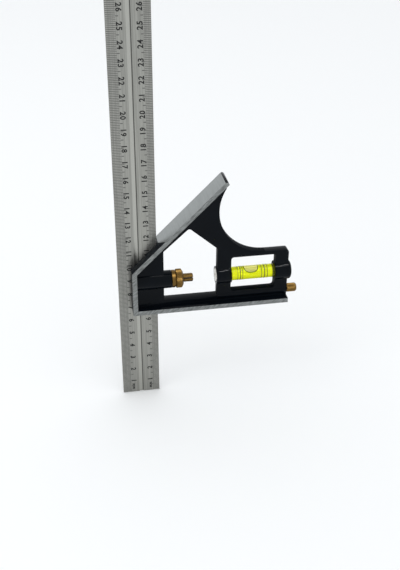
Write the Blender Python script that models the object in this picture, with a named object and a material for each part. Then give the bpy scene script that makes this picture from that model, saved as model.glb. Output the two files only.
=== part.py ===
"""Combination square: a cast stock that slides along a grooved steel rule.

Every size is in millimetres and is measured from the stock's inside corner, where the
rule's inner edge crosses the 90 degree face: X runs along that face away from the rule,
Y runs through the thickness from front to back, and Z runs up the rule.
The model's own origin is the middle of the 90 degree face.
"""
from math import atan, cos, degrees, pi, radians, sin, sqrt

import bmesh
import bpy
from mathutils import Matrix

MM = 0.001
GAP = 0.3                       # clearance that touching pieces keep
SIDES = 32                      # facets round a turned piece
REACH = 200.0                   # long enough for a cutter to pass right through
WELD = 0.001                    # points nearer than this are one

# Rule
RULE_WIDTH = 25.0
RULE_THICK = 1.6
RULE_LENGTH = 300.0
ZERO_BELOW_FACE = 67.4          # zero end of the scale, below the 90 degree face
GROOVE_WIDTH = 2.8
GROOVE_DEPTH = 0.6

# Stock: a web in the middle of the thickness, with flanges along the working sides
STOCK_THICK = 16.0
WEB_THICK = 5.6
FLANGE = 3.1
MITRE_FLANGE = 2.75             # the flange along the 45 degree face is thinner
FACE_LENGTH = 86.0              # 90 degree face, from the rule to the stock's end
NOSE = 16.6                     # how far the stock reaches across the rule
NOSE_HEIGHT = 31.0
MITRE_RUN = 58.1                # horizontal length of the 45 degree face
COVE = 3.2                      # radius between web and flange
ARM_TOP = 37.1                  # top of the arm that holds the vial
ARM_CORNER = 2.0
SWEEP_X, SWEEP_Z = 70.2, 67.8   # centre of the hollow curve between the two arms
SWEEP_END = 150.0               # degrees, where the curve meets the mitre arm

# Openings through the web
THROAT_LEFT, THROAT_RIGHT = 4.1, 39.0
THROAT_FLOOR, THROAT_SHOULDER = 6.9, 42.6
THROAT_APEX = (20.55, 57.8)     # where the two slopes would meet
THROAT_RIGHT_SHOULDER = 41.7
WINDOW_LEFT, WINDOW_RIGHT = 48.0, 77.5
WINDOW_FLOOR, WINDOW_TOP = 9.2, 34.5
CORNER = 1.8                    # radius in the corners of both openings

# Clamp: it shares its axis with the vial
AXIS_Z = 21.0
BARREL_RADIUS, BARREL_END = 5.85, 9.0
SPRING_SEAT = 1.5               # bottom of the counterbore that holds the spring
BOLT_RADIUS = 2.8
BOLT_LEFT, BOLT_RIGHT = -14.6, 23.3
BOLT_TRAVEL = 0.6               # most that the bolt moves back when the nut is loosened
NIB_WIDTH, NIB_HEIGHT = 1.5, 3.0
SPLIT_LENGTH, SPLIT_WIDTH = 6.6, 0.8
SPLIT_LIFT = 20.0               # degrees that the split's front is turned upwards
NUT_RADIUS, NUT_COLLAR_RADIUS = 6.15, 5.75
NUT_COLLAR_LENGTH, NUT_END = 2.5, 16.7
SPRING_WIRE_RADIUS, SPRING_TURNS = 0.25, 6
SPRING_ROOM = 1.1               # space round the bolt that the spring stands in

# Spirit level
VIAL_RADIUS, VIAL_BORE = 4.5, 3.3
VIAL_LEFT, VIAL_RIGHT = 41.0, 84.6
VIAL_END_WALL = 2.6
LEFT_BOSS_RADIUS, RIGHT_BOSS_RADIUS, RIGHT_BOSS_END = 5.8, 6.4, 88.0
PLUG_LENGTH = 2.7
STOPPER_LENGTH = 2.8
BUBBLE_LENGTH, BUBBLE_X = 9.6, 61.4

# Scriber
SCRIBER_Z = 6.5
SCRIBER_BOSS_RADIUS = 3.4
NEEDLE_RADIUS, NEEDLE_LEFT, NEEDLE_TAPER = 1.2, 45.5, 6.0
BUSH_RADIUS, BUSH_LENGTH = 2.1, 3.6
KNOB_RADIUS, KNOB_LENGTH, KNOB_BORE_LENGTH = 2.9, 7.0, 3.6


def clear_scene():
    for item in list(bpy.data.objects):
        bpy.data.objects.remove(item, do_unlink=True)


def finish(name, color, roughness, metallic=0.0):
    material = bpy.data.materials.new(name)
    material.use_nodes = True
    shader = material.node_tree.nodes["Principled BSDF"]
    shader.inputs["Base Color"].default_value = (*color, 1.0)
    shader.inputs["Roughness"].default_value = roughness
    shader.inputs["Metallic"].default_value = metallic
    return material


# ---- shapes -------------------------------------------------------------------------
def arc(x, z, radius, start, stop, steps):
    """Points along an arc about (x, z), from one angle in degrees to another."""
    angles = [radians(start + (stop - start) * i / steps) for i in range(steps + 1)]
    return [(x + radius * cos(a), z + radius * sin(a)) for a in angles]


def add(name, shape, parent, material=None, height=0.0, smooth=False):
    """Make a bmesh an object that hangs on the inside corner, height above it."""
    bmesh.ops.recalc_face_normals(shape, faces=shape.faces)
    mesh = bpy.data.meshes.new(name)
    shape.to_mesh(mesh)
    shape.free()
    piece = bpy.data.objects.new(name, mesh)
    bpy.context.collection.objects.link(piece)
    piece.parent = parent
    piece.location.z = height
    if material:
        mesh.materials.append(material)
    if smooth:
        mesh.shade_smooth()
        mesh.set_sharp_from_angle(angle=radians(35))
    return piece


def prism_shape(outline, front, back):
    """An outline in X and Z, with thickness from front to back along Y."""
    shape = bmesh.new()
    face = shape.faces.new([shape.verts.new((x, front, z)) for x, z in outline])
    side = bmesh.ops.extrude_face_region(shape, geom=[face])
    moved = [item for item in side["geom"] if isinstance(item, bmesh.types.BMVert)]
    bmesh.ops.translate(shape, vec=(0, back - front, 0), verts=moved)
    return shape


def box_shape(x, y, z):
    return prism_shape([(x[0], z[0]), (x[1], z[0]), (x[1], z[1]), (x[0], z[1])], *y)


def turned_shape(profile, closed=False):
    """A profile of (x, radius) points turned round the X axis."""
    shape = bmesh.new()
    points = [shape.verts.new((x, 0, radius)) for x, radius in profile]
    pairs = list(zip(points, points[1:] + points[:1]))
    edges = [shape.edges.new(pair) for pair in (pairs if closed else pairs[:-1])]
    bmesh.ops.spin(shape, geom=points + edges, cent=(0, 0, 0), axis=(1, 0, 0),
                   angle=2 * pi, steps=SIDES, use_merge=True)
    bmesh.ops.remove_doubles(shape, verts=shape.verts, dist=1e-4)
    return shape


def rod_shape(left, right, radius):
    return turned_shape([(left, 0), (left, radius), (right, radius), (right, 0)])


def combine(body, tool, operation):
    """Unite a body with a tool or cut the tool out of it, and throw the tool away."""
    step = body.modifiers.new(tool.name, "BOOLEAN")
    step.operation = operation
    step.object = tool
    depsgraph = bpy.context.evaluated_depsgraph_get()
    result = bpy.data.meshes.new_from_object(body.evaluated_get(depsgraph))
    shape = bmesh.new()
    shape.from_mesh(result)
    bmesh.ops.remove_doubles(shape, verts=shape.verts, dist=WELD)
    bmesh.ops.dissolve_degenerate(shape, edges=shape.edges, dist=WELD)
    shape.to_mesh(result)
    shape.free()
    body.modifiers.clear()
    body.data = result
    bpy.data.objects.remove(tool, do_unlink=True)


# ---- rule ---------------------------------------------------------------------------
def make_rule(corner):
    front, back = -RULE_THICK / 2, RULE_THICK / 2
    middle = -RULE_WIDTH / 2
    left, right = middle - GROOVE_WIDTH / 2, middle + GROOVE_WIDTH / 2
    floor = front + GROOVE_DEPTH
    section = [(0, back), (-RULE_WIDTH, back), (-RULE_WIDTH, front), (left, front),
               (left, floor), (right, floor), (right, front), (0, front)]
    shape = bmesh.new()
    face = shape.faces.new([shape.verts.new((x, y, -ZERO_BELOW_FACE)) for x, y in section])
    side = bmesh.ops.extrude_face_region(shape, geom=[face])
    moved = [item for item in side["geom"] if isinstance(item, bmesh.types.BMVert)]
    bmesh.ops.translate(shape, vec=(0, 0, RULE_LENGTH), verts=moved)
    add("rule", shape, corner, finish("satin_steel", (0.46, 0.46, 0.43), 0.42, 1.0))


# ---- stock --------------------------------------------------------------------------
def stock_outline():
    tip_radius = FLANGE / 2
    tip_x = MITRE_RUN - NOSE + tip_radius / sqrt(2)
    tip_z = NOSE_HEIGHT + MITRE_RUN - tip_radius / sqrt(2)
    outline = [(-NOSE, 0), (FACE_LENGTH, 0)]
    outline += arc(FACE_LENGTH - ARM_CORNER, ARM_TOP - ARM_CORNER, ARM_CORNER, 0, 90, 4)
    outline += arc(SWEEP_X, SWEEP_Z, SWEEP_Z - ARM_TOP, 270, SWEEP_END, 14)
    outline += arc(tip_x, tip_z, tip_radius, -45, 135, 6)
    return outline + [(-NOSE, NOSE_HEIGHT)]


def pocket_shape(side):
    """The space beside the web, with a cove where its floor meets each flange."""
    inner = FLANGE - NOSE
    rise = NOSE + NOSE_HEIGHT - MITRE_FLANGE * sqrt(2)
    outline = [(inner, FLANGE), (REACH, FLANGE), (REACH, REACH + rise), (inner, inner + rise)]
    shape = prism_shape(outline, side * WEB_THICK / 2, side * STOCK_THICK)
    floor = [v for v in shape.verts if abs(v.co.y) < STOCK_THICK / 2]
    edges = [e for e in shape.edges
             if all(v in floor for v in e.verts) and min(v.co.x for v in e.verts) < 0]
    bmesh.ops.bevel(shape, geom=edges, offset=COVE, segments=3, profile=0.5, affect="EDGES")
    return shape


def throat_outline():
    """Five-sided opening that the clamp nut stands in."""
    apex_x, apex_z = THROAT_APEX
    left_slope = atan((apex_z - THROAT_SHOULDER) / (apex_x - THROAT_LEFT))
    right_slope = atan((apex_z - THROAT_RIGHT_SHOULDER) / (THROAT_RIGHT - apex_x))
    away, lean = CORNER / cos((left_slope + right_slope) / 2), (left_slope - right_slope) / 2
    top = arc(apex_x + away * sin(lean), apex_z - away * cos(lean), CORNER,
              90 - degrees(right_slope), 90 + degrees(left_slope), 4)
    return ([(THROAT_LEFT, THROAT_FLOOR), (THROAT_RIGHT, THROAT_FLOOR),
             (THROAT_RIGHT, THROAT_RIGHT_SHOULDER)] + top + [(THROAT_LEFT, THROAT_SHOULDER)])


def window_outline():
    left, right = WINDOW_LEFT + CORNER, WINDOW_RIGHT - CORNER
    low, high = WINDOW_FLOOR + CORNER, WINDOW_TOP - CORNER
    corners = [(right, high, 0), (left, high, 90), (left, low, 180), (right, low, 270)]
    return [p for x, z, a in corners for p in arc(x, z, CORNER, a, a + 90, 4)]


def make_stock(corner):
    half = STOCK_THICK / 2
    paint = finish("black_enamel", (0.012, 0.014, 0.018), 0.25)
    stock = add("stock_casting", prism_shape(stock_outline(), -half, half), corner, paint)

    def work(name, shape, operation, height=0.0):
        combine(stock, add(name, shape, corner, height=height), operation)

    for side in (-1, 1):
        work("pocket", pocket_shape(side), "DIFFERENCE")
    work("throat", prism_shape(throat_outline(), -half, half), "DIFFERENCE")
    work("window", prism_shape(window_outline(), -half, half), "DIFFERENCE")

    barrel_left = -NOSE + FLANGE / 2
    boss_round = 1.6
    right_boss = [(WINDOW_RIGHT - GAP, 0), (WINDOW_RIGHT - GAP, RIGHT_BOSS_RADIUS)]
    right_boss += arc(RIGHT_BOSS_END - boss_round, RIGHT_BOSS_RADIUS - boss_round,
                      boss_round, 90, 0, 3)
    right_boss += [(RIGHT_BOSS_END, 0)]
    work("barrel", rod_shape(barrel_left, BARREL_END, BARREL_RADIUS), "UNION", AXIS_Z)
    work("left_boss", rod_shape(THROAT_RIGHT - 0.8, WINDOW_LEFT + 0.2, LEFT_BOSS_RADIUS),
         "UNION", AXIS_Z)
    work("right_boss", turned_shape(right_boss), "UNION", AXIS_Z)
    work("scriber_boss", rod_shape(THROAT_RIGHT + 0.1, FACE_LENGTH - 0.1, SCRIBER_BOSS_RADIUS),
         "UNION", SCRIBER_Z)

    slot = RULE_THICK / 2 + GAP
    work("rule_slot", box_shape((-REACH, GAP), (-slot, slot), (-REACH, REACH)), "DIFFERENCE")
    bolt_bore = BOLT_RADIUS + GAP
    spring_bore = BOLT_RADIUS + SPRING_ROOM
    bore_left = BOLT_LEFT - BOLT_TRAVEL - GAP
    clamp_bore = [(bore_left, 0), (bore_left, bolt_bore), (SPRING_SEAT, bolt_bore),
                  (SPRING_SEAT, spring_bore), (BARREL_END + 1, spring_bore), (BARREL_END + 1, 0)]
    work("clamp_bore", turned_shape(clamp_bore), "DIFFERENCE", AXIS_Z)
    work("vial_bore", rod_shape(THROAT_RIGHT - 5, VIAL_RIGHT + GAP, VIAL_RADIUS + GAP),
         "DIFFERENCE", AXIS_Z)
    needle_bore = NEEDLE_RADIUS + GAP
    bush_bore = BUSH_RADIUS + GAP
    bush_seat = FACE_LENGTH - 0.1 - BUSH_LENGTH - 2 * GAP
    scriber_bore = [(NEEDLE_LEFT - 1, 0), (NEEDLE_LEFT - 1, needle_bore),
                    (bush_seat, needle_bore), (bush_seat, bush_bore),
                    (FACE_LENGTH + 1, bush_bore), (FACE_LENGTH + 1, 0)]
    work("scriber_bore", turned_shape(scriber_bore), "DIFFERENCE", SCRIBER_Z)


# ---- clamp --------------------------------------------------------------------------
def make_lock_bolt(corner, brass):
    chamfer = 0.6
    profile = [(BOLT_LEFT, 0), (BOLT_LEFT, BOLT_RADIUS), (BOLT_RIGHT - chamfer, BOLT_RADIUS),
               (BOLT_RIGHT, BOLT_RADIUS - chamfer), (BOLT_RIGHT, 0)]
    bolt = add("lock_bolt", turned_shape(profile), corner, brass, AXIS_Z, smooth=True)
    fork = RULE_THICK / 2 + GAP
    rule_notch = box_shape((BOLT_LEFT - 1, 2 * GAP), (-fork, fork), (-REACH, REACH))
    combine(bolt, add("rule_notch", rule_notch, corner, height=AXIS_Z), "DIFFERENCE")
    split = box_shape((BOLT_RIGHT - SPLIT_LENGTH, BOLT_RIGHT + 1), (-REACH, REACH),
                      (-SPLIT_WIDTH / 2, SPLIT_WIDTH / 2))
    split.transform(Matrix.Rotation(radians(-SPLIT_LIFT), 4, "X"))
    combine(bolt, add("split", split, corner, height=AXIS_Z), "DIFFERENCE")
    nib_right = (GROOVE_WIDTH - RULE_WIDTH) / 2 - GAP
    nib_tip = GROOVE_DEPTH - RULE_THICK / 2 - GAP
    nib = box_shape((nib_right - NIB_WIDTH, nib_right), (-fork - 0.4, nib_tip),
                    (-NIB_HEIGHT / 2, NIB_HEIGHT / 2))
    combine(bolt, add("nib", nib, corner, height=AXIS_Z), "UNION")


def make_lock_nut(corner, brass):
    left = BARREL_END + GAP
    shoulder = left + NUT_COLLAR_LENGTH
    bore, chamfer, cone = BOLT_RADIUS + GAP, 0.8, 1.6
    profile = [(left, bore), (left, NUT_COLLAR_RADIUS), (shoulder, NUT_COLLAR_RADIUS),
               (shoulder, NUT_RADIUS - chamfer / 2), (shoulder + chamfer, NUT_RADIUS),
               (NUT_END - chamfer, NUT_RADIUS), (NUT_END, NUT_RADIUS - cone), (NUT_END, bore)]
    add("lock_nut", turned_shape(profile, closed=True), corner, brass, AXIS_Z, smooth=True)


def make_lock_spring(corner):
    curve = bpy.data.curves.new("lock_spring", "CURVE")
    curve.dimensions = "3D"
    curve.bevel_depth = SPRING_WIRE_RADIUS
    curve.bevel_resolution = 1
    curve.use_fill_caps = True
    curve.render_resolution_u = 0
    per_turn = 14
    count = SPRING_TURNS * per_turn + 1
    radius = BOLT_RADIUS + SPRING_ROOM / 2
    left = SPRING_SEAT + GAP + SPRING_WIRE_RADIUS
    right = BARREL_END - SPRING_WIRE_RADIUS
    wire = curve.splines.new("POLY")
    wire.points.add(count - 1)
    for i, point in enumerate(wire.points):
        turn = 2 * pi * i / per_turn
        x = left + (right - left) * i / (count - 1)
        point.co = (x, radius * cos(turn), radius * sin(turn), 1)
    curve.materials.append(finish("spring_steel", (0.5, 0.5, 0.5), 0.35, 1.0))
    spring = bpy.data.objects.new("lock_spring", curve)
    bpy.context.collection.objects.link(spring)
    spring.parent = corner
    spring.location.z = AXIS_Z


# ---- spirit level -------------------------------------------------------------------
def make_vial(corner):
    acrylic = finish("vial_acrylic", (0.72, 0.85, 0.05), 0.08)
    inside = VIAL_RIGHT - VIAL_END_WALL
    tube = [(inside, 0), (inside, VIAL_BORE), (VIAL_LEFT, VIAL_BORE),
            (VIAL_LEFT, VIAL_RADIUS), (VIAL_RIGHT, VIAL_RADIUS), (VIAL_RIGHT, 0)]
    add("vial_tube", turned_shape(tube), corner, acrylic, AXIS_Z, smooth=True)

    core = VIAL_BORE - GAP
    stopper_left = VIAL_LEFT + GAP
    stopper_right = stopper_left + STOPPER_LENGTH
    add("vial_stopper", rod_shape(stopper_left, stopper_right, core), corner, acrylic,
        AXIS_Z, smooth=True)

    liquid_color = finish("vial_liquid", (0.8, 0.9, 0.05), 0.1)
    liquid = add("vial_liquid", rod_shape(stopper_right + GAP, inside - GAP, core), corner,
                 liquid_color, AXIS_Z, smooth=True)
    trough = box_shape((0, REACH), (-core * 0.63, core * 0.63), (core * 0.25, core * 2))
    combine(liquid, add("trough", trough, corner, height=AXIS_Z), "DIFFERENCE")

    bubble = bmesh.new()
    size = (BUBBLE_LENGTH / 2, core * 0.5, core * 0.27)
    place = Matrix.Translation((BUBBLE_X, 0, core * 0.64)) @ Matrix.Diagonal((*size, 1))
    bmesh.ops.create_uvsphere(bubble, u_segments=16, v_segments=10, radius=1, matrix=place)
    add("vial_bubble", bubble, corner, finish("bubble", (0.85, 0.85, 0.75), 0.05), AXIS_Z,
        smooth=True)


def make_retaining_plug(corner):
    left, right = VIAL_LEFT - GAP - PLUG_LENGTH, VIAL_LEFT - GAP
    radius, rim, dimple = VIAL_RADIUS, 0.4, 0.8
    profile = [(left + dimple, 0), (left + dimple, 0.5), (left, 1.5), (left, radius - rim),
               (left + rim, radius), (right, radius), (right, 0)]
    add("vial_retaining_plug", turned_shape(profile), corner,
        finish("nickel_plate", (0.6, 0.58, 0.54), 0.25, 1.0), AXIS_Z, smooth=True)


# ---- scriber ------------------------------------------------------------------------
def make_scriber(corner, brass):
    knob_left = FACE_LENGTH + GAP
    knob_right = knob_left + KNOB_LENGTH
    bore_end = knob_left + KNOB_BORE_LENGTH
    tip = 0.15
    needle = [(NEEDLE_LEFT, 0), (NEEDLE_LEFT, tip), (NEEDLE_LEFT + NEEDLE_TAPER, NEEDLE_RADIUS),
              (bore_end - GAP, NEEDLE_RADIUS), (bore_end - GAP, 0)]
    steel = finish("hardened_steel", (0.4, 0.4, 0.42), 0.3, 1.0)
    add("scriber_needle", turned_shape(needle), corner, steel, SCRIBER_Z, smooth=True)

    chamfer, crown, bore = 0.4, 1.3, NEEDLE_RADIUS + GAP
    knob = [(bore_end, 0), (bore_end, bore), (knob_left, bore),
            (knob_left, KNOB_RADIUS - chamfer), (knob_left + chamfer, KNOB_RADIUS)]
    knob += arc(knob_right - crown, KNOB_RADIUS - crown, crown, 90, 0, 4)
    knob += [(knob_right, 0)]
    add("scriber_knob", turned_shape(knob), corner, brass, SCRIBER_Z, smooth=True)

    bush_right = FACE_LENGTH - 0.1 - GAP
    bush_left = bush_right - BUSH_LENGTH
    bush = [(bush_left, bore), (bush_left, BUSH_RADIUS), (bush_right, BUSH_RADIUS),
            (bush_right, bore)]
    add("scriber_bush", turned_shape(bush, closed=True), corner,
        finish("nylon", (0.05, 0.05, 0.05), 0.5), SCRIBER_Z, smooth=True)


def to_metres():
    """The pieces are modelled in millimetres: bring data and places to real size."""
    for item in bpy.data.objects:
        item.location *= MM
        if item.data:
            item.data.transform(Matrix.Scale(MM, 4))


def main():
    clear_scene()
    corner = bpy.data.objects.new("inside_corner", None)
    bpy.context.collection.objects.link(corner)
    corner.location.x = -FACE_LENGTH / 2
    brass = finish("brass", (0.55, 0.38, 0.14), 0.3, 1.0)
    make_rule(corner)
    make_stock(corner)
    make_lock_bolt(corner, brass)
    make_lock_nut(corner, brass)
    make_lock_spring(corner)
    make_vial(corner)
    make_retaining_plug(corner)
    make_scriber(corner, brass)
    to_metres()


main()
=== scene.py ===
"""Combination square: the visible pieces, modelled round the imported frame.

Pieces are shaped in millimetres about the stock's inside corner, where the rule's inner
edge crosses the 90 degree face, and are then brought to metres in the frame.
"""
from math import atan, atan2, copysign, cos, degrees, hypot, pi, radians, sin, sqrt

import bmesh
import bpy
from bpy.props import FloatProperty, FloatVectorProperty, IntProperty, PointerProperty
from mathutils import Matrix, Vector


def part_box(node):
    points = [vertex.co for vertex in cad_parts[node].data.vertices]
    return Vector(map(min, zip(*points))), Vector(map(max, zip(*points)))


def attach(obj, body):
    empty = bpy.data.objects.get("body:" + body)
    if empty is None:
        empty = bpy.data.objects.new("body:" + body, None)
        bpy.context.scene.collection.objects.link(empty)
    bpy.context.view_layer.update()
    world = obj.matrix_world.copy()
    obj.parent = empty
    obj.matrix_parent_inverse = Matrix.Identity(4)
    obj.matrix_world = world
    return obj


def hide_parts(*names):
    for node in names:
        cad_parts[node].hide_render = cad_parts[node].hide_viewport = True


bl_info = {
    "name": "Combination square",
    "version": (1, 0, 0),
    "blender": (4, 5, 0),
    "location": "View3D > Sidebar > Square",
    "description": "Models a combination square round its packed frame",
    "category": "Add Mesh",
}

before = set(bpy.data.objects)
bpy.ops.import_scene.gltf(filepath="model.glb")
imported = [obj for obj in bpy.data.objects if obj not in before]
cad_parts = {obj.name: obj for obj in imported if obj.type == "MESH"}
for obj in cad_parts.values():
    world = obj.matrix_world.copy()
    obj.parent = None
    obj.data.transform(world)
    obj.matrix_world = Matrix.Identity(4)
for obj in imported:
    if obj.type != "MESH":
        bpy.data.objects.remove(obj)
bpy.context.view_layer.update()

MM = 0.001
REACH = 200.0                   # long enough for a cutter to pass right through
GAP = 0.3                       # clearance between moving pieces
WELD = 0.001                    # points nearer than this are one point
HAIR = 1e-4                     # the same for small or thin pieces
CORNER_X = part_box("rule")[1].x / MM
AXIS_Z = (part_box("lock_nut")[0].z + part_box("lock_nut")[1].z) / 2 / MM
SCRIBER_Z = (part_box("scriber_knob")[0].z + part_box("scriber_knob")[1].z) / 2 / MM
RULE_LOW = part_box("rule")[0].z / MM


def reach_of(node):
    """A node's lowest and highest corners, in millimetres from the inside corner."""
    low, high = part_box(node)
    return (Vector((low.x / MM - CORNER_X, low.y / MM, low.z / MM)),
            Vector((high.x / MM - CORNER_X, high.y / MM, high.z / MM)))


# ---- sizes and colours that a user may change ---------------------------------------
class SquareStock(bpy.types.PropertyGroup):
    flange: FloatProperty(name="Flange", description="Width of the machined rims, mm",
                          default=3.1, min=1.0)
    mitre_flange: FloatProperty(name="Mitre flange", default=2.75, min=1.0,
                                description="Width of the rims along the 45 degree face, mm")
    web: FloatProperty(name="Web", description="Thickness of the web, mm", default=5.6)
    cove: FloatProperty(name="Cove", description="Radius from web to flange, mm", default=3.2)
    edge: FloatProperty(name="Edge", description="Rounding of the cast edges, mm", default=0.3)
    steps: IntProperty(name="Steps", description="Facets round a boss", default=96, min=24)
    enamel: FloatVectorProperty(name="Enamel", description="Colour of the enamel",
                                subtype="COLOR", default=(0.0022, 0.0035, 0.0054))
    bare: FloatVectorProperty(name="Bare metal", description="Colour of the machined faces",
                              subtype="COLOR", default=(0.33, 0.345, 0.34))


class SquareRule(bpy.types.PropertyGroup):
    groove_width: FloatProperty(name="Groove", description="Width of the groove, mm", default=2.8)
    groove_depth: FloatProperty(name="Depth", description="Depth of the groove, mm", default=0.6)
    tick: FloatProperty(name="Tick", description="Width of a graduation, mm", default=0.34)
    digit: FloatProperty(name="Digit", description="Height of the numbers, mm", default=3.1)
    steel: FloatVectorProperty(name="Steel", description="Colour of the steel",
                               subtype="COLOR", default=(0.325, 0.325, 0.30))


class SquareClamp(bpy.types.PropertyGroup):
    pitch: FloatProperty(name="Pitch", description="Pitch of the bolt's thread, mm", default=0.8)
    ridges: IntProperty(name="Ridges", description="Ridges round the nut", default=44)
    brass: FloatVectorProperty(name="Brass", description="Colour of the brass",
                               subtype="COLOR", default=(0.17, 0.1, 0.028))


class SquareLevel(bpy.types.PropertyGroup):
    liquid: FloatVectorProperty(name="Liquid", description="Colour of the vial's liquid",
                                subtype="COLOR", default=(0.84, 0.91, 0.012))
    line: FloatProperty(name="Line", description="Width of a ring line, mm", default=0.4)


# ---- bpy.ops helpers ----------------------------------------------------------------
def deselect():
    if bpy.context.object and bpy.context.object.mode != "OBJECT":
        bpy.ops.object.mode_set(mode="OBJECT")
    bpy.ops.object.select_all(action="DESELECT")


def pick(*pieces):
    deselect()
    for piece in pieces:
        piece.select_set(True)
    bpy.context.view_layer.objects.active = pieces[0]


def loop_piece(name, points, place, filled):
    """A ring of corners put one by one where the outline has them."""
    deselect()
    bpy.ops.mesh.primitive_circle_add(vertices=len(points), radius=1,
                                      fill_type="NGON" if filled else "NOTHING")
    piece = bpy.context.object
    piece.name = piece.data.name = name
    for vertex, point in zip(piece.data.vertices, points):
        vertex.co = place(*point)
    return piece


def tidy_normals(piece, dist=WELD):
    """Merge doubled points and turn every face outwards."""
    pick(piece)
    bpy.ops.object.mode_set(mode="EDIT")
    bpy.ops.mesh.select_all(action="SELECT")
    bpy.ops.mesh.remove_doubles(threshold=dist)
    bpy.ops.mesh.normals_make_consistent(inside=False)
    bpy.ops.object.mode_set(mode="OBJECT")


def prism(name, outline, front, back):
    """An outline in X and Z, extruded through the thickness."""
    piece = loop_piece(name, outline, lambda x, z: (x, front, z), True)
    pick(piece)
    bpy.ops.object.mode_set(mode="EDIT")
    bpy.ops.mesh.select_all(action="SELECT")
    bpy.ops.mesh.extrude_region_move(TRANSFORM_OT_translate={"value": (0, back - front, 0)})
    bpy.ops.object.mode_set(mode="OBJECT")
    tidy_normals(piece)
    return piece


def block(name, x, y, z):
    """A box between two places along each axis."""
    return prism(name, [(x[0], z[0]), (x[1], z[0]), (x[1], z[1]), (x[0], z[1])], *y)


def turned(name, profile, height, steps=96):
    """A closed profile of (x, radius) points, spun round an axis along X."""
    piece = loop_piece(name, profile, lambda x, r: (x, 0, r), False)
    for edge in piece.data.edges:
        edge.select = False
    on_axis = [e.index for e in piece.data.edges
               if all(abs(piece.data.vertices[v].co.z) < 1e-6 for v in e.vertices)]
    pick(piece)
    bpy.ops.object.mode_set(mode="EDIT")
    shape = bmesh.from_edit_mesh(piece.data)
    shape.edges.ensure_lookup_table()
    bmesh.ops.delete(shape, geom=[shape.edges[i] for i in on_axis], context="EDGES_FACES")
    bmesh.update_edit_mesh(piece.data)
    bpy.ops.mesh.select_all(action="SELECT")
    bpy.ops.mesh.spin(steps=steps, angle=2 * pi, center=(0, 0, 0), axis=(1, 0, 0))
    bpy.ops.mesh.select_all(action="SELECT")
    bpy.ops.mesh.remove_doubles(threshold=HAIR)
    bpy.ops.mesh.normals_make_consistent(inside=False)
    bpy.ops.transform.translate(value=(0, 0, height))
    bpy.ops.object.mode_set(mode="OBJECT")
    return piece


def rod(name, left, right, radius, height, steps=96):
    """A plain cylinder along X."""
    return turned(name, [(left, 0), (left, radius), (right, radius), (right, 0)], height, steps)


def cut(body, tool, operation="DIFFERENCE"):
    """Unite with a tool or cut it out, and throw the tool away."""
    pick(body)
    step = body.modifiers.new("cut", "BOOLEAN")
    step.operation, step.object, step.solver = operation, tool, "EXACT"
    bpy.ops.object.modifier_apply(modifier=step.name)
    bpy.data.objects.remove(tool, do_unlink=True)
    shape = bmesh.new()
    shape.from_mesh(body.data)
    bmesh.ops.remove_doubles(shape, verts=shape.verts, dist=WELD)
    bmesh.ops.dissolve_degenerate(shape, edges=shape.edges, dist=WELD)
    shape.to_mesh(body.data)
    shape.free()


def round_edges(piece, width, segments=2, angle=32):
    """Round the edges that are sharper than the angle."""
    pick(piece)
    step = piece.modifiers.new("edges", "BEVEL")
    step.width, step.segments, step.limit_method = width, segments, "ANGLE"
    step.angle_limit, step.use_clamp_overlap = radians(angle), True
    step.miter_outer = "MITER_ARC"
    bpy.ops.object.modifier_apply(modifier=step.name)


def arc(x, z, radius, start, stop, steps):
    """Points along an arc about (x, z), from one angle in degrees to another."""
    angles = [radians(start + (stop - start) * i / steps) for i in range(steps + 1)]
    return [(x + radius * cos(a), z + radius * sin(a)) for a in angles]


def join(pieces, name):
    pick(*pieces)
    if len(pieces) > 1:
        bpy.ops.object.join()
    pieces[0].name = pieces[0].data.name = name
    return pieces[0]


def settle(piece, body, slot_name, *nodes, smooth=30, materials=()):
    """Bring a piece to metres in the frame, finish it and hand it to its body."""
    piece.data.transform(Matrix.Translation((CORNER_X * MM, 0, 0)) @ Matrix.Scale(MM, 4))
    pick(piece)
    if smooth:
        bpy.ops.object.shade_smooth_by_angle(angle=radians(smooth))
    if materials:
        piece.data.materials.clear()
        for material in materials:
            piece.data.materials.append(material)
    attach(piece, body)
    if nodes:
        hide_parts(*nodes)
    return piece


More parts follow.
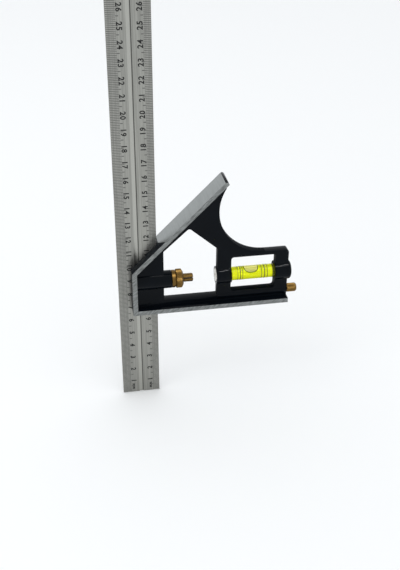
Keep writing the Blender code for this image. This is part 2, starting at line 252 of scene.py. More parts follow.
# ---- materials ----------------------------------------------------------------------
class Finish:
    """A node material, started from its shader and built up step by step."""

    def __init__(self, name, color, roughness, metallic=0.0, specular=0.5):
        self.material = bpy.data.materials.new(name)
        self.material.use_nodes = True
        self.tree = self.material.node_tree
        self.shader = self.tree.nodes["Principled BSDF"]
        self.color = (*color, 1.0)
        self.shader.inputs["Base Color"].default_value = self.color
        self.shader.inputs["Roughness"].default_value = roughness
        self.shader.inputs["Metallic"].default_value = metallic
        self.shader.inputs["Specular IOR Level"].default_value = specular
        self.place = self.tree.nodes.new("ShaderNodeTexCoord")

    def set(self, **values):
        for name, value in values.items():
            self.shader.inputs[name.replace("_", " ")].default_value = value
        return self

    def noise(self, scale, stretch=(1, 1, 1), turn=(0, 0, 0), detail=4.0):
        """Noise on the object's own coordinates, turned and then stretched."""
        turned_place = self.tree.nodes.new("ShaderNodeMapping")
        turned_place.inputs["Rotation"].default_value = turn
        self.tree.links.new(self.place.outputs["Object"], turned_place.inputs["Vector"])
        mapping = self.tree.nodes.new("ShaderNodeMapping")
        mapping.inputs["Scale"].default_value = stretch
        self.tree.links.new(turned_place.outputs["Vector"], mapping.inputs["Vector"])
        noise = self.tree.nodes.new("ShaderNodeTexNoise")
        noise.inputs["Scale"].default_value = scale
        noise.inputs["Detail"].default_value = detail
        self.tree.links.new(mapping.outputs["Vector"], noise.inputs["Vector"])
        return noise.outputs["Fac"]

    def span(self, source, low, high, start=0.35, stop=0.65):
        """A value between low and high as the source goes from start to stop."""
        node = self.tree.nodes.new("ShaderNodeMapRange")
        for name, value in (("From Min", start), ("From Max", stop),
                            ("To Min", low), ("To Max", high)):
            node.inputs[name].default_value = value
        self.tree.links.new(source, node.inputs["Value"])
        return node.outputs["Result"]

    def shade(self, source, dark, light, start=0.35, stop=0.65):
        """Colour between two multiples of the base colour."""
        ramp = self.tree.nodes.new("ShaderNodeValToRGB")
        for element, at, times in ((ramp.color_ramp.elements[0], start, dark),
                                   (ramp.color_ramp.elements[1], stop, light)):
            element.position = at
            element.color = (*[min(c * times, 1) for c in self.color[:3]], 1)
        self.tree.links.new(source, ramp.inputs["Fac"])
        self.tree.links.new(ramp.outputs["Color"], self.shader.inputs["Base Color"])
        return self

    def rough(self, source, low, high):
        self.tree.links.new(self.span(source, low, high), self.shader.inputs["Roughness"])
        return self

    def bump(self, source, strength, distance):
        node = self.tree.nodes.new("ShaderNodeBump")
        node.inputs["Strength"].default_value = strength
        node.inputs["Distance"].default_value = distance
        self.tree.links.new(source, node.inputs["Height"])
        self.tree.links.new(node.outputs["Normal"], self.shader.inputs["Normal"])
        return self

    def along(self, axis):
        split = self.tree.nodes.new("ShaderNodeSeparateXYZ")
        self.tree.links.new(self.place.outputs["Object"], split.inputs["Vector"])
        return split.outputs[axis]


MADE = {}


def finish(name):
    """The named finish, made the first time that a piece asks for it."""
    if name in MADE:
        return MADE[name]
    stock, rule = bpy.context.scene.square_stock, bpy.context.scene.square_rule
    clamp, level = bpy.context.scene.square_clamp, bpy.context.scene.square_level
    if name == "gloss_enamel":
        made = Finish(name, stock.enamel, 0.12, specular=0.075)
        peel = made.noise(260, detail=2.0)
        made.shade(made.noise(90), 0.85, 1.15).rough(peel, 0.08, 0.14).bump(peel, 0.03, 0.0001)
    elif name == "wall_enamel":
        made = Finish(name, stock.enamel, 0.5, specular=0.03)
        made.shade(made.noise(120), 0.85, 1.2).rough(made.noise(260), 0.45, 0.6)
    elif name == "cast_enamel":
        made = Finish(name, stock.enamel, 0.42, specular=0.16)
        grit = made.noise(1400, detail=3.0)
        made.shade(made.noise(300), 0.9, 1.9).rough(grit, 0.35, 0.55).bump(grit, 0.25, 0.0002)
    elif name == "ground_rim":
        made = Finish(name, [c * 0.72 for c in stock.bare], 0.36, 1.0)
        marks = made.noise(1500, (0.14, 1, 1), (0, radians(38), 0), 3.0)
        made.shade(marks, 0.52, 1.25).rough(marks, 0.3, 0.5).bump(marks, 0.35, 0.0002)
    elif name == "milled_face":
        made = Finish(name, stock.bare, 0.38, 1.0)
        marks = made.noise(1100, (1, 0.05, 1), detail=3.0)
        made.shade(marks, 0.92, 1.05).rough(marks, 0.36, 0.42).bump(marks, 0.12, 0.0001)
    elif name == "satin_steel":
        made = Finish(name, rule.steel, 0.38, 1.0)
        grain = made.noise(1500, (1, 1, 0.02), detail=4.0)
        made.shade(grain, 0.84, 1.12).rough(grain, 0.32, 0.46).bump(grain, 0.1, 0.0001)
    elif name == "etched_black":
        made = Finish(name, (0.012, 0.012, 0.012), 0.6, specular=0.2)
        made.shade(made.noise(900), 0.7, 2.2)
    elif name == "etched_grey":
        made = Finish(name, (0.10, 0.10, 0.095), 0.55, specular=0.3)
        made.shade(made.noise(700), 0.8, 1.3)
    elif name == "groove_steel_painted_light":
        made = Finish(name, rule.steel, 0.34, 1.0)
        # Painted light on the groove's floor: a painted highlight (1.3x) over its left part,
        # turning to painted shade (0.25x) in the strip by its right wall.
        wall = made.span(made.along("X"), 0.0, 1.0,
                         (-11.85 + CORNER_X) * MM, (-11.45 + CORNER_X) * MM)
        made.shade(wall, 1.3, 0.25, 0.0, 1.0)
    elif name == "turned_brass":
        made = Finish(name, clamp.brass, 0.36, 1.0)
        tarnish = made.noise(420, detail=5.0)
        made.shade(tarnish, 0.88, 1.08).rough(tarnish, 0.31, 0.43)
        made.bump(made.noise(1800, (1, 0.1, 0.1)), 0.12, 0.0001)
    elif name == "split_painted_shade":
        # Painted shade: near-black brass for the faces inside the bolt's split.
        made = Finish(name, (0.035, 0.02, 0.008), 0.6, specular=0.2)
        made.rough(made.noise(500), 0.5, 0.7)
    elif name == "clear_acrylic":
        made = Finish(name, (0.99, 0.98, 0.62), 0.04, specular=0.5)
        made.set(Transmission_Weight=1.0, IOR=1.12).rough(made.noise(120), 0.03, 0.06)
    elif name == "vial_liquid":
        made = Finish(name, level.liquid, 0.25, specular=0.3)
        # Painted glow: a faint emission in the liquid's own colour, though the liquid is no lamp.
        made.set(Emission_Color=(*level.liquid, 1.0), Emission_Strength=0.03)
        # Painted shade: the liquid darkens to 0.03 of its colour at its right end, where it runs
        # into the boss.
        end = made.span(made.along("X"), 0.0, 1.0, (74.9 + CORNER_X) * MM, (75.7 + CORNER_X) * MM)
        made.shade(end, 1.0, 0.03, 0.1, 1.0)
    elif name == "bubble_air":
        made = Finish(name, (0.78, 0.76, 0.50), 0.1)
        # Painted highlight: the bubble is lighter (1.2x) across its top and darker (0.72x) lower
        # down.
        top = made.span(made.along("Z"), 0.0, 1.0, (AXIS_Z + 3.2) * MM, (AXIS_Z + 4.2) * MM)
        made.shade(top, 0.72, 1.2, 0.0, 1.0)
    elif name == "ring_print":
        made = Finish(name, (0.045, 0.06, 0.008), 0.4)
        made.shade(made.noise(500), 0.7, 1.4)
    elif name == "bubble_edge_painted_shade":
        # Painted shade: a dark green ring round the bubble's edge.
        made = Finish(name, (0.03, 0.09, 0.006), 0.3)
        made.shade(made.noise(400), 0.8, 1.3)
    elif name == "nickel_plate":
        made = Finish(name, (0.58, 0.56, 0.52), 0.26, 1.0)
        rings = made.noise(700, (0.2, 1, 1))
        made.shade(rings, 0.8, 1.15).rough(rings, 0.2, 0.36)
    elif name == "hardened_steel":
        made = Finish(name, (0.38, 0.38, 0.4), 0.3, 1.0)
        made.rough(made.noise(900, (0.1, 1, 1)), 0.22, 0.4)
    elif name == "spring_wire":
        made = Finish(name, (0.45, 0.45, 0.44), 0.35, 1.0)
        made.rough(made.noise(1200), 0.28, 0.45)
    elif name == "nylon":
        made = Finish(name, (0.03, 0.03, 0.03), 0.5)
        made.rough(made.noise(600), 0.42, 0.6)
    elif name == "pale_floor":
        made = Finish(name, (0.97, 0.97, 0.965), 0.7, specular=0.2)
        made.rough(made.noise(3), 0.65, 0.75)
    else:
        raise ValueError("no finish is named " + name)
    MADE[name] = made.material
    return made.material


# ---- stock --------------------------------------------------------------------------
STOCK_HALF = 8.0                # half of the stock's thickness
NOSE, NOSE_HEIGHT, FACE_LENGTH = 16.6, 31.0, 86.0
MITRE_RUN = 58.1                # horizontal length of the 45 degree face
ARM_TOP, ARM_CORNER = 37.1, 2.0
SWEEP_X, SWEEP_Z, SWEEP_END = 70.2, 67.8, 150.0     # hollow curve: centre, last degree
THROAT = (4.1, 39.0, 6.9, 42.6)         # left, right, floor and left shoulder
THROAT_APEX, THROAT_RIGHT_SHOULDER = (20.55, 57.8), 41.7
WINDOW = (48.0, 77.5, 9.2, 34.5)        # left, right, floor and top
CORNER = 1.8                    # radius in the corners of both openings
BARREL_RADIUS, BARREL_END = 5.85, 9.0
LEFT_BOSS, SCRIBER_BOSS = (38.2, 48.2, 5.8), (39.1, 85.9, 3.4)      # ends and radius
RIGHT_BOSS, BOSS_ROUND = (77.2, 88.0, 6.4), 1.6
VIAL_BORE = (34, 84.9, 4.8)
NEEDLE_BORE, BUSH_BORE = (44.5, 81.7, 1.5), (81.7, 87, 2.4)
SLOT_EDGE, SLOT_HALF = 0.3, 1.1         # the slot that the rule runs in
BOLT_RADIUS = 2.8
BOLT_BORE_START, SPRING_SEAT = -15.5, 1.5
NEAR = 0.3                      # how near to a wall's outline a face counts as the wall


def stock_outline(flange):
    """The casting seen from the front."""
    tip = flange / 2
    tip_x = MITRE_RUN - NOSE + tip / sqrt(2)
    tip_z = NOSE_HEIGHT + MITRE_RUN - tip / sqrt(2)
    outline = [(-NOSE, 0), (FACE_LENGTH, 0)]
    outline += arc(FACE_LENGTH - ARM_CORNER, ARM_TOP - ARM_CORNER, ARM_CORNER, 0, 90, 12)
    outline += arc(SWEEP_X, SWEEP_Z, SWEEP_Z - ARM_TOP, 270, SWEEP_END, 48)
    outline += arc(tip_x, tip_z, tip, -45, 135, 14)
    return outline + [(-NOSE, NOSE_HEIGHT)]


def pocket(side, stock):
    """The space beside the web, with a cove where its floor meets each flange."""
    inner = stock.flange - NOSE
    rise = NOSE + NOSE_HEIGHT - stock.mitre_flange * sqrt(2)
    outline = [(inner, stock.flange), (REACH, stock.flange), (REACH, REACH + rise),
               (inner, inner + rise)]
    piece = prism("pocket", outline, side * stock.web / 2, side * 2 * STOCK_HALF)
    pick(piece)
    bpy.ops.object.mode_set(mode="EDIT")
    bpy.ops.mesh.select_all(action="DESELECT")
    shape = bmesh.from_edit_mesh(piece.data)
    for edge in shape.edges:
        floor = all(abs(v.co.y) < STOCK_HALF for v in edge.verts)
        edge.select = floor and min(v.co.x for v in edge.verts) < 0
    bmesh.update_edit_mesh(piece.data)
    bpy.ops.mesh.bevel(offset=stock.cove, segments=8, profile=0.5, affect="EDGES")
    bpy.ops.object.mode_set(mode="OBJECT")
    return piece


def throat_outline():
    """Five-sided opening that the clamp nut stands in."""
    left, right, floor, shoulder = THROAT
    apex_x, apex_z = THROAT_APEX
    left_slope = atan((apex_z - shoulder) / (apex_x - left))
    right_slope = atan((apex_z - THROAT_RIGHT_SHOULDER) / (right - apex_x))
    away, lean = CORNER / cos((left_slope + right_slope) / 2), (left_slope - right_slope) / 2
    top = arc(apex_x + away * sin(lean), apex_z - away * cos(lean), CORNER,
              90 - degrees(right_slope), 90 + degrees(left_slope), 10)
    return ([(left, floor), (right, floor), (right, THROAT_RIGHT_SHOULDER)] + top
            + [(left, shoulder)])


def window_outline():
    left, right, low, high = (WINDOW[0] + CORNER, WINDOW[1] - CORNER,
                              WINDOW[2] + CORNER, WINDOW[3] - CORNER)
    corners = [(right, high, 0), (left, high, 90), (left, low, 180), (right, low, 270)]
    return [p for x, z, a in corners for p in arc(x, z, CORNER, a, a + 90, 8)]


ENAMEL, CAST, RIM, MILLED, WALL = range(5)
CAST_NEAR, CAST_SLOPE = 1.0, 0.57   # edge of the bare 45 degree face, beside the rule slot


def cast_edge(y):
    """How far along X the as-cast part of the 45 degree face reaches at this depth."""
    return CAST_NEAR + max(-y - 1.1, 0) * CAST_SLOPE


def part_mitre(body):
    """Cut the 45 degree face along the line where its machining stops."""
    for place, across in (((0, 0, 50), (0, 1, 0)), ((CAST_NEAR, 0, 50), (1, 0, 0)),
                          ((CAST_NEAR, -1.1, 50), (1, CAST_SLOPE, 0))):
        pick(body)
        bpy.ops.object.mode_set(mode="EDIT")
        bpy.ops.mesh.select_all(action="DESELECT")
        shape = bmesh.from_edit_mesh(body.data)
        for face in shape.faces:
            face.select = face.normal.x < -0.6 and face.normal.z > 0.6
        bmesh.update_edit_mesh(body.data)
        bpy.ops.mesh.bisect(plane_co=place, plane_no=across)
        bpy.ops.object.mode_set(mode="OBJECT")


def is_wall(x, z):
    """Is the point on a wall of the throat, of the window or of the arm's sweep?"""
    left, right, low, high = WINDOW
    off_axis = abs(z - AXIS_Z)
    window = (left - NEAR < x < right + NEAR and low - NEAR < z < high + NEAR
              and off_axis > BARREL_RADIUS + 0.05)
    throat = THROAT[0] - NEAR < x < THROAT[1] + NEAR and z > THROAT[2] + 2.1
    sweep = hypot(x - SWEEP_X, z - SWEEP_Z) < SWEEP_Z - ARM_TOP + NEAR
    return window or sweep or throat and off_axis > BARREL_RADIUS + 0.15


def stock_finish(center, normal):
    """Which finish a face of the stock has, from its place and the way it faces."""
    x, y, z = center
    mitre = (z - NOSE_HEIGHT) - (x + NOSE)
    on_mitre = normal.x < -0.6 and normal.z > 0.6 and abs(mitre) < 0.4
    if on_mitre:
        return CAST if x < cast_edge(y) else MILLED
    if normal.z < -0.9 and z < 0.2:
        return MILLED
    if abs(normal.y) > 0.6 and abs(y) > STOCK_HALF - NEAR:
        return RIM
    if normal.x < -0.9 and x < 0.2 - NOSE:
        return CAST
    if abs(normal.x) > 0.9 and WINDOW[0] - NEAR < x < WINDOW[1] + NEAR:
        return WALL
    if abs(normal.y) < 0.5 and is_wall(x, z):
        return WALL
    return ENAMEL


class SQUARE_OT_stock(bpy.types.Operator):
    """Model the cast stock"""
    bl_idname = "square.stock"
    bl_label = "Stock"

    def execute(self, context):
        stock = context.scene.square_stock
        body = prism("stock_body", stock_outline(stock.flange), -STOCK_HALF, STOCK_HALF)
        for side in (-1, 1):
            cut(body, pocket(side, stock))
        for name, outline in (("throat", throat_outline()), ("window", window_outline())):
            cut(body, prism(name, outline, -STOCK_HALF - 0.5, STOCK_HALF + 0.5))
        n = stock.steps
        left, right, radius = RIGHT_BOSS
        boss = [(left, 0), (left, radius)]
        boss += arc(right - BOSS_ROUND, radius - BOSS_ROUND, BOSS_ROUND, 90, 0, 8)
        barrel = (stock.flange / 2 - NOSE, BARREL_END, BARREL_RADIUS)
        cut(body, rod("barrel", *barrel, AXIS_Z, n), "UNION")
        cut(body, rod("left_boss", *LEFT_BOSS, AXIS_Z, n), "UNION")
        cut(body, turned("right_boss", boss + [(right, 0)], AXIS_Z, n), "UNION")
        cut(body, rod("scriber_boss", *SCRIBER_BOSS, SCRIBER_Z, n), "UNION")
        cut(body, block("rule_slot", (-REACH, SLOT_EDGE), (-SLOT_HALF, SLOT_HALF),
                        (-REACH, REACH)))
        bore, seat, end = BOLT_RADIUS + GAP, BOLT_RADIUS + 1.1, BARREL_END + 1
        clamp = [(BOLT_BORE_START, 0), (BOLT_BORE_START, bore), (SPRING_SEAT, bore),
                 (SPRING_SEAT, seat), (end, seat), (end, 0)]
        cut(body, turned("clamp_bore", clamp, AXIS_Z, n))
        cut(body, rod("vial_bore", *VIAL_BORE, AXIS_Z, n))
        needle = [(at, size) for left, right, radius in (NEEDLE_BORE, BUSH_BORE)
                  for at, size in ((left, radius), (right, radius))]
        needle = [(NEEDLE_BORE[0], 0)] + needle + [(BUSH_BORE[1], 0)]
        cut(body, turned("needle_bore", needle, SCRIBER_Z, n))
        for polygon in body.data.polygons:
            polygon.material_index = 0
        round_edges(body, stock.edge, 2)
        tidy_normals(body, 0.0005)
        part_mitre(body)
        for name in ("gloss_enamel", "cast_enamel", "ground_rim", "milled_face", "wall_enamel"):
            body.data.materials.append(finish(name))
        for polygon in body.data.polygons:
            polygon.material_index = stock_finish(polygon.center, polygon.normal)
        settle(body, "stock", "black_enamel", "stock_casting", smooth=28)
        return {"FINISHED"}


# ---- rule ---------------------------------------------------------------------------
RULE_WIDTH, RULE_HALF = 25.0, 0.8
PROUD = 0.02                    # how far the etched marks stand off the steel
TICK_BANDS = ((-22.1, 5.6), (-2.2, 4.2))    # centre and length of the millimetre marks
DASH_ROWS, DASH_LENGTH = (-18.5, -5.1), 1.5     # a short mark every 5 mm, by the numbers
LEFT_NUMBERS, RIGHT_NUMBERS = -17.65, -6.2


def mark(name, x, z, wide, high):
    """One etched mark on the front of the rule."""
    return block(name, (x - wide / 2, x + wide / 2), (-RULE_HALF - PROUD, -RULE_HALF + 0.01),
                 (z - high / 2, z + high / 2))


def repeat(piece, count, step):
    """Copy a piece up the rule, one copy every step."""
    pick(piece)
    row = piece.modifiers.new("row", "ARRAY")
    row.use_relative_offset, row.use_constant_offset = False, True
    row.constant_offset_displace, row.count = (0, 0, step), count
    bpy.ops.object.modifier_apply(modifier=row.name)
    return piece


class SQUARE_OT_rule(bpy.types.Operator):
    """Model the grooved rule with its graduations and numbers"""
    bl_idname = "square.rule"
    bl_label = "Rule"

    def execute(self, context):
        rule = context.scene.square_rule
        length = (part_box("rule")[1].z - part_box("rule")[0].z) / MM
        blade = block("rule_blade", (-RULE_WIDTH, 0), (-RULE_HALF, RULE_HALF),
                      (RULE_LOW, RULE_LOW + length))
        mid, half = -RULE_WIDTH / 2, rule.groove_width / 2
        cut(blade, block("groove", (mid - half, mid + half),
                         (-RULE_HALF - 1, -RULE_HALF + rule.groove_depth),
                         (RULE_LOW - 1, RULE_LOW + length + 1)))
        round_edges(blade, 0.08, 2)
        blade.data.materials.append(finish("satin_steel"))
        blade.data.materials.append(finish("groove_steel_painted_light"))
        # The groove's floor takes the steel with the painted highlight and painted shade.
        for polygon in blade.data.polygons:
            sunk = -RULE_HALF + 0.3 < polygon.center.y < 0 and polygon.normal.y < -0.9
            polygon.material_index = 1 if sunk else 0
        settle(blade, "rule", "satin_steel", "rule", smooth=30)
        self.graduate(rule, int(length))
        self.number(rule, int(length / 10) - 1)
        return {"FINISHED"}

    def graduate(self, rule, count):
        first = RULE_LOW + 1
        ticks = [repeat(mark("tick", x, first, long, rule.tick), count - 1, 1)
                 for x, long in TICK_BANDS]
        ticks += [repeat(mark("dash", x, first + 4, DASH_LENGTH, rule.tick * 1.4),
                         count // 5 - 1, 5) for x in DASH_ROWS]
        marks = join(ticks, "rule_graduations")
        settle(marks, "rule", None, smooth=0, materials=[finish("etched_grey")])

    def number(self, rule, count):
        labels = []
        for centimetre in range(1, count + 1):
            z = RULE_LOW + 10 * centimetre - 0.4
            labels.append(self.label(str(centimetre), LEFT_NUMBERS, z, -90, rule.digit))
            labels.append(self.label(str(centimetre), RIGHT_NUMBERS, z, 90, rule.digit))
        labels.append(self.label("mm", LEFT_NUMBERS, RULE_LOW + 4.6, -90, 2.0))
        labels.append(self.label("mm", RIGHT_NUMBERS, RULE_LOW + 4.6, 90, 2.0))
        numbers = join(labels, "rule_numbers")
        settle(numbers, "rule", None, smooth=0, materials=[finish("etched_black")])

    def label(self, text, x, z, turn, height):
        """A number that lies on the rule's front face, turned to read up or down."""
        deselect()
        bpy.ops.object.text_add()
        item = bpy.context.object
        item.data.body = text
        item.data.align_x = item.data.align_y = "CENTER"
        item.data.size = height / 0.7
        item.data.offset = 0.13
        item.data.extrude = 0.012
        item.data.space_character = 1.2
        item.data.resolution_u = 3
        bpy.ops.object.convert(target="MESH")
        item.data.transform(Matrix.Translation((x, -RULE_HALF - 0.008, z))
                            @ Matrix.Rotation(radians(turn), 4, "Y").inverted()
                            @ Matrix.Rotation(radians(90), 4, "X"))
        tidy_normals(item, HAIR)
        return item


# ---- clamp --------------------------------------------------------------------------
COLLAR_RADIUS, COLLAR_LENGTH = 5.75, 2.5
THREAD_START, THREAD_DEPTH, THREAD_RUNOUT = 9.0, 0.16, 0.7
SPLIT_LENGTH, SPLIT_HALF, SPLIT_LIFT = 6.6, 0.4, radians(20)


def ridged(piece, axis_z, count, depth, left, right, least):
    """Press ridges into the turned surface between two places along it."""
    for vertex in piece.data.vertices:
        across, up = vertex.co.y, vertex.co.z - axis_z
        radius = hypot(across, up)
        if left < vertex.co.x < right and radius > least:
            wave = 0.5 - 0.5 * cos(atan2(up, across) * count)
            radius_now = radius - depth * wave
            vertex.co.y = across * radius_now / radius
            vertex.co.z = axis_z + up * radius_now / radius


class SQUARE_OT_clamp(bpy.types.Operator):
    """Model the brass bolt and nut, and finish the spring"""
    bl_idname = "square.clamp"
    bl_label = "Clamp"

    def execute(self, context):
        clamp = context.scene.square_clamp
        self.nut(clamp)
        self.bolt(clamp)
        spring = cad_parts["lock_spring"]
        spring.data.materials.clear()
        spring.data.materials.append(finish("spring_wire"))
        return {"FINISHED"}

    def nut(self, clamp):
        low, high = reach_of("lock_nut")
        left, end, radius, collar = low.x, high.x, high.y, COLLAR_RADIUS
        shoulder, bore = left + COLLAR_LENGTH, BOLT_RADIUS + GAP
        profile = [(left, bore), (left, collar - 0.25), (left + 0.25, collar),
                   (shoulder - 0.5, collar), (shoulder - 0.25, collar - 0.5),
                   (shoulder, collar - 0.5), (shoulder + 0.5, radius)]
        profile += [(shoulder + 0.5 + i * (end - 1.0 - shoulder - 0.5) / 6, radius)
                    for i in range(1, 7)]
        profile += [(end - 0.5, radius - 0.8), (end, radius - 1.6), (end, bore + 0.3),
                    (end - 0.3, bore)]
        nut = turned("brass_nut", profile, AXIS_Z, clamp.ridges * 6)
        ridged(nut, AXIS_Z, clamp.ridges, 0.24, shoulder + 0.4, end - 0.2, radius - 1.0)
        settle(nut, "lock_nut", "brass", "lock_nut", smooth=35,
               materials=[finish("turned_brass")])

    def bolt(self, clamp):
        low, high = reach_of("lock_bolt")
        left, right, radius, start = low.x, high.x, BOLT_RADIUS, THREAD_START
        threaded = right - THREAD_RUNOUT - start
        stops = int(threaded / clamp.pitch * 8)
        profile = [(left, 0), (left, radius - 0.2), (left + 0.2, radius)]
        profile += [(start + threaded * i / stops, radius) for i in range(stops + 1)]
        profile += [(right - 0.25, radius - 0.25), (right, radius - 0.7), (right, 0)]
        bolt = turned("brass_bolt", profile, AXIS_Z, 48)
        for vertex in bolt.data.vertices:
            across, up = vertex.co.y, vertex.co.z - AXIS_Z
            size = hypot(across, up)
            if vertex.co.x > start and size > radius - 0.05 and vertex.co.x < right - 0.3:
                turn = vertex.co.x / clamp.pitch - atan2(up, across) / (2 * pi)
                deep = THREAD_DEPTH * abs(2 * (turn % 1) - 1)
                vertex.co.y = across * (size - deep) / size
                vertex.co.z = AXIS_Z + up * (size - deep) / size
        cut(bolt, block("notch", (left - 1, 0.6), (-SLOT_HALF, SLOT_HALF), (-REACH, REACH)))
        split = block("split", (right - SPLIT_LENGTH, right + 1), (-REACH, REACH),
                      (-SPLIT_HALF, SPLIT_HALF))
        split.data.transform(Matrix.Translation((0, 0, AXIS_Z))
                             @ Matrix.Rotation(-SPLIT_LIFT, 4, "X"))
        cut(bolt, split)
        cut(bolt, block("nib", (-12.9, -11.4), (-1.5, -0.5), (AXIS_Z - 1.5, AXIS_Z + 1.5)),
            "UNION")
        tidy_normals(bolt, 0.0005)
        across = Vector((0, sin(SPLIT_LIFT), cos(SPLIT_LIFT)))
        bolt.data.materials.append(finish("turned_brass"))
        bolt.data.materials.append(finish("split_painted_shade"))
        # The faces inside the split take the painted shade.
        for polygon in bolt.data.polygons:
            from_split = (polygon.center - Vector((0, 0, AXIS_Z))).dot(across)
            inside = (abs(from_split) < SPLIT_HALF + 0.02
                      and polygon.center.x > right - SPLIT_LENGTH - 0.1)
            polygon.material_index = 1 if inside else 0
        settle(bolt, "lock_bolt", "brass", "lock_bolt", smooth=40)


# ---- spirit level -------------------------------------------------------------------
WALL_IN, WALL_OUT, LIQUID_OUT, AIR_OUT = 4.44, 4.5, 4.3, 4.4
RING_LINES = ((52.3, 0.7), (54.1, 1.2), (55.5, 0.7), (68.1, 0.7), (70.1, 1.2), (72.0, 0.7))
BUBBLE_MIDDLE, BUBBLE_HALF, BUBBLE_SPREAD = 61.4, 4.95, radians(66)
KNURLS = 26                     # ridges round the scriber's knob


def fuller(value):
    """A sine or cosine swollen a little, for an oval with squarer shoulders."""
    return copysign(abs(value) ** 0.8, value)


class SQUARE_OT_level(bpy.types.Operator):
    """Model the vial, its liquid, ring lines, bubble and plug"""
    bl_idname = "square.level"
    bl_label = "Spirit level"

    def execute(self, context):
        level = context.scene.square_level
        low, high = reach_of("vial_tube")
        left, right = low.x, high.x
        tube = [(right - 1.5, 0), (right - 1.5, WALL_IN), (left, WALL_IN),
                (left, WALL_OUT - 0.04), (left + 0.05, WALL_OUT), (right - 0.4, WALL_OUT),
                (right, WALL_OUT - 0.4), (right, 0)]
        settle(turned("vial_wall", tube, AXIS_Z), "stock", "vial_acrylic", "vial_tube",
               materials=[finish("clear_acrylic")])
        liquid = [(left + 3.4, 0), (left + 3.4, LIQUID_OUT - 0.3), (left + 3.7, LIQUID_OUT),
                  (right - 2.1, LIQUID_OUT), (right - 1.8, LIQUID_OUT - 0.3), (right - 1.8, 0)]
        settle(turned("vial_filling", liquid, AXIS_Z), "stock", "vial_liquid", "vial_liquid",
               materials=[finish("vial_liquid")])
        stopper = [(left + 0.3, 0), (left + 0.3, 3.8), (left + 0.6, 4.1), (left + 3.1, 4.1),
                   (left + 3.1, 0)]
        settle(turned("vial_cap", stopper, AXIS_Z), "stock", "vial_acrylic", "vial_stopper",
               materials=[finish("clear_acrylic")])
        for i, (x, wide) in enumerate(RING_LINES):
            self.ring(f"vial_line_{i + 1}", x, level.line * wide)
        self.bubble()
        self.plug()
        return {"FINISHED"}

    def ring(self, name, x, wide):
        """A printed line right round the vial."""
        inner, outer = WALL_OUT - 0.01, WALL_OUT + 0.03
        band = [(x - wide / 2, inner), (x - wide / 2, outer), (x + wide / 2, outer),
                (x + wide / 2, inner)]
        settle(turned(name, band, AXIS_Z), "stock", None, smooth=50,
               materials=[finish("ring_print")])

    def patch(self, name, length, spread, low, high, inner=0.0):
        """An oval sheet of even thickness laid over the top of the liquid."""
        rings, around = 10, 64
        deselect()
        bpy.ops.mesh.primitive_grid_add(x_subdivisions=around, y_subdivisions=rings)
        piece = bpy.context.object
        piece.name = piece.data.name = name
        for i, vertex in enumerate(piece.data.vertices):
            row, column = divmod(i, around + 1)
            share = inner + (1 - inner) * row / rings
            turn = 2 * pi * column / around
            x, lean = share * length * fuller(cos(turn)), share * spread * fuller(sin(turn))
            vertex.co = (BUBBLE_MIDDLE + x, -high * sin(lean), AXIS_Z + high * cos(lean))
        tidy_normals(piece, HAIR)
        wall = piece.modifiers.new("wall", "SOLIDIFY")
        wall.thickness, wall.offset = high - low, -1
        pick(piece)
        bpy.ops.object.modifier_apply(modifier=wall.name)
        tidy_normals(piece, HAIR)
        return piece

    def bubble(self):
        under = LIQUID_OUT + 0.04
        air = self.patch("bubble_body", BUBBLE_HALF - 0.5, BUBBLE_SPREAD * 0.9, under, AIR_OUT)
        settle(air, "bubble", "vial_bubble", "vial_bubble", smooth=50,
               materials=[finish("bubble_air")])
        # A thin dark sheet round the bubble, painted shade at its edge.
        shade_rim = self.patch("bubble_rim_painted_shade", BUBBLE_HALF, BUBBLE_SPREAD, under, AIR_OUT, 0.9)
        settle(shade_rim, "bubble", None, smooth=50, materials=[finish("bubble_edge_painted_shade")])

    def plug(self):
        low, high = reach_of("vial_retaining_plug")
        left, right = low.x, high.x
        profile = [(left + 0.8, 0), (left + 0.8, 0.6), (left + 0.15, 1.4), (left, 1.7),
                   (left, 4.0), (left + 0.12, 4.3), (left + 0.4, 4.5), (right - 0.2, 4.5),
                   (right, 4.3), (right, 0)]
        settle(turned("vial_plug", profile, AXIS_Z), "stock", "nickel_plate",
               "vial_retaining_plug", smooth=28, materials=[finish("nickel_plate")])


# ---- scriber ------------------------------------------------------------------------
class SQUARE_OT_scriber(bpy.types.Operator):
    """Model the scriber's knurled knob, and finish its needle and bush"""
    bl_idname = "square.scriber"
    bl_label = "Scriber"

    def execute(self, context):
        low, high = reach_of("scriber_knob")
        left, right, radius = low.x, high.x, high.y
        profile = [(left + 3.6, 0), (left + 3.6, 1.5), (left, 1.5), (left, radius - 0.3),
                   (left + 0.3, radius - 0.02)]
        profile += [(left + 0.7 + i * (right - left - 2.2) / 6, radius) for i in range(7)]
        profile += arc(right - 1.3, radius - 1.3, 1.3, 75, 0, 8) + [(right, 0)]
        knob = turned("scriber_cap", profile, SCRIBER_Z, KNURLS * 6)
        ridged(knob, SCRIBER_Z, KNURLS, 0.2, left + 0.5, right - 1.4, radius - 0.3)
        settle(knob, "scriber", "brass", "scriber_knob", smooth=35,
               materials=[finish("turned_brass")])
        for node, name in (("scriber_needle", "hardened_steel"), ("scriber_bush", "nylon")):
            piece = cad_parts[node]
            piece.data.materials.clear()
            piece.data.materials.append(finish(name))
        return {"FINISHED"}


# ---- stage --------------------------------------------------------------------------
CAMERA_PLACE = (-0.09784, -0.44818, 0.29510)
CAMERA_AHEAD, CAMERA_UP = (0.15502873, 0.83715789, -0.524531), (0.085872, 0.51752136, 0.85135048)
LENS = 73.88                    # mm, on a sensor 36 mm wide
SKY, SKY_STRENGTH = (0.95, 0.975, 1.0, 1), 0.95
GLINT_HEIGHT, GLINT_WIDTH = 0.64, 0.02
GLINTS = (("barrel", 0.024, -0.259, 0.14, 1.0),     # boss, X, Y, length and power
          ("left_boss", 0.124, -0.2, 0.06, 0.5),
          ("right_boss", 0.206, -0.12, 0.07, 0.9))


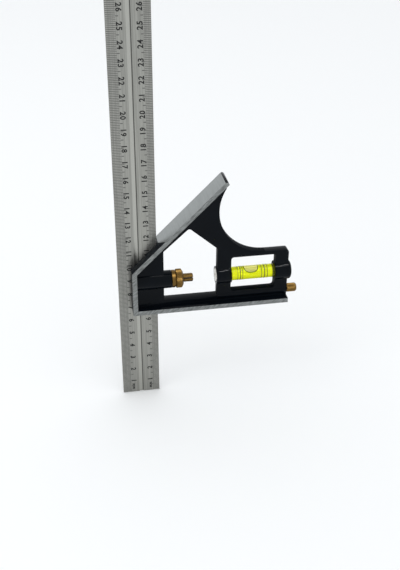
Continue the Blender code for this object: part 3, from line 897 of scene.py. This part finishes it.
def area_light(name, place, target, size, power):
    """A rectangular light that shines at the target."""
    deselect()
    bpy.ops.object.light_add(type="AREA", location=place)
    light = bpy.context.object
    light.name = name
    light.data.shape = "RECTANGLE"
    light.data.size, light.data.size_y = size
    light.data.energy = power
    light.rotation_euler = (Vector(target) - Vector(place)).to_track_quat("-Z", "Y").to_euler()
    return light


class SQUARE_OT_stage(bpy.types.Operator):
    """Set up the floor, the light and the camera"""
    bl_idname = "square.stage"
    bl_label = "Stage"

    def execute(self, context):
        deselect()
        bpy.ops.mesh.primitive_plane_add(size=12, location=(0, 0, (RULE_LOW - 0.3) * MM))
        floor = context.object
        floor.name = "floor"
        floor.data.materials.append(finish("pale_floor"))

        world = bpy.data.worlds.new("studio")
        context.scene.world = world
        world.use_nodes = True
        sky = world.node_tree.nodes["Background"]
        sky.inputs["Color"].default_value = SKY
        sky.inputs["Strength"].default_value = SKY_STRENGTH
        for boss, x, y, length, power in GLINTS:
            strip = area_light("glint_" + boss, (x, y, GLINT_HEIGHT), (x, y, 0),
                               (length, GLINT_WIDTH), power)
            strip.visible_diffuse = False
        area_light("key", (-0.9, -0.2, 1.3), (0, 0, 0), (0.9, 0.9), 4)

        camera = bpy.data.cameras.new("camera")
        camera.sensor_width, camera.sensor_fit, camera.lens = 36, "HORIZONTAL", LENS
        holder = bpy.data.objects.new("camera", camera)
        context.collection.objects.link(holder)
        ahead, up = Vector(CAMERA_AHEAD).normalized(), Vector(CAMERA_UP).normalized()
        across = ahead.cross(up).normalized()
        up = across.cross(ahead)
        turn = Matrix((across, up, -ahead)).transposed()
        holder.matrix_world = Matrix.Translation(CAMERA_PLACE) @ turn.to_4x4()
        context.scene.camera = holder
        context.scene.view_settings.view_transform = "Standard"
        return {"FINISHED"}


class SQUARE_PT_panel(bpy.types.Panel):
    bl_label = "Combination square"
    bl_idname = "SQUARE_PT_panel"
    bl_space_type = "VIEW_3D"
    bl_region_type = "UI"
    bl_category = "Square"

    def draw(self, context):
        for part, group in (("stock", "square_stock"), ("rule", "square_rule"),
                            ("clamp", "square_clamp"), ("level", "square_level"),
                            ("scriber", None), ("stage", None)):
            box = self.layout.box()
            if group:
                values = getattr(context.scene, group)
                for name in values.__annotations__:
                    box.prop(values, name)
            box.operator("square." + part)


CLASSES = (SquareStock, SquareRule, SquareClamp, SquareLevel, SQUARE_OT_stock, SQUARE_OT_rule,
           SQUARE_OT_clamp, SQUARE_OT_level, SQUARE_OT_scriber, SQUARE_OT_stage,
           SQUARE_PT_panel)


def register():
    for item in CLASSES:
        bpy.utils.register_class(item)
    bpy.types.Scene.square_stock = PointerProperty(type=SquareStock)
    bpy.types.Scene.square_rule = PointerProperty(type=SquareRule)
    bpy.types.Scene.square_clamp = PointerProperty(type=SquareClamp)
    bpy.types.Scene.square_level = PointerProperty(type=SquareLevel)


def unregister():
    del bpy.types.Scene.square_level
    del bpy.types.Scene.square_clamp
    del bpy.types.Scene.square_rule
    del bpy.types.Scene.square_stock
    for item in reversed(CLASSES):
        bpy.utils.unregister_class(item)


def main():
    register()
    bpy.ops.square.stage()
    bpy.ops.square.stock()
    bpy.ops.square.rule()
    bpy.ops.square.clamp()
    bpy.ops.square.level()
    bpy.ops.square.scriber()


if __name__ == "__main__":
    main()
